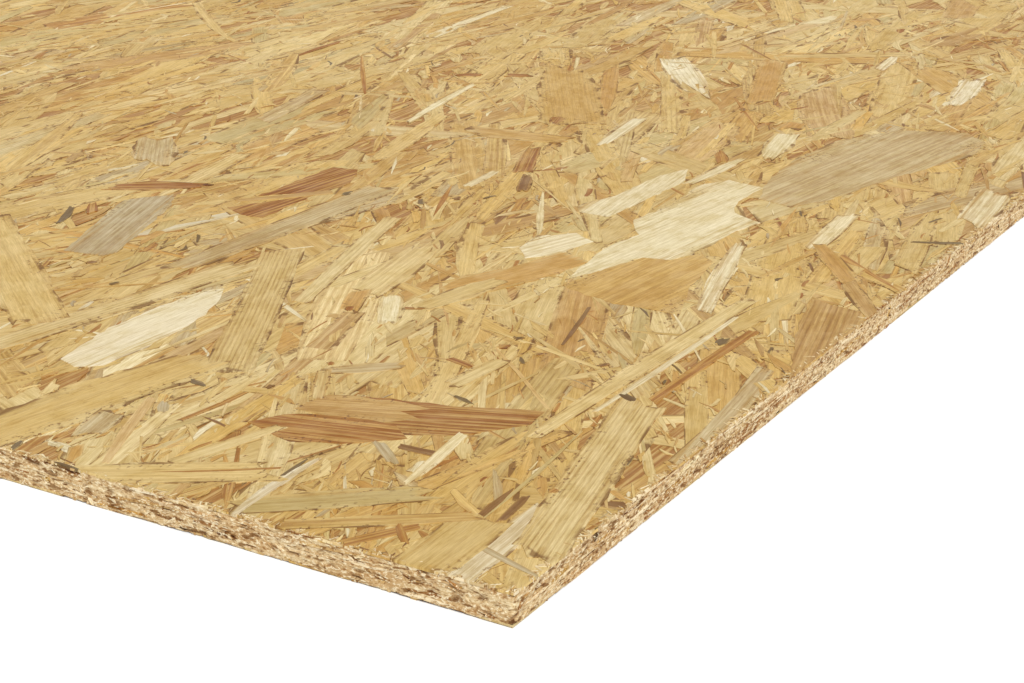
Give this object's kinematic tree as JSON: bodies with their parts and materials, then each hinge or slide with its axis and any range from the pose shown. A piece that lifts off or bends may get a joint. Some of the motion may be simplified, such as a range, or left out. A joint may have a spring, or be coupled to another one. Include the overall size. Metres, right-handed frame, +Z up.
{
  "type": "osb board",
  "caption": "Full flat sheet of oriented strand board with square sawn edges and a flaky wood-strand face.",
  "frame": {"origin": "middle of the underside, on the surface that the sheet lies on", "axes": "+Z up through the thickness, +Y along the sheet, the way most face strands lie, +X across it"},
  "size_m": [1.22, 2.44, 0.012],
  "materials": {
    "pressed_strands": "golden straw-yellow pressed wood strands, satin and slightly waxy, with cream, grey and brown flakes among them and paler rough sawn edges"
  },
  "bodies": {
    "root": {"osb_board": "pressed_strands"}
  },
  "joints": []
}
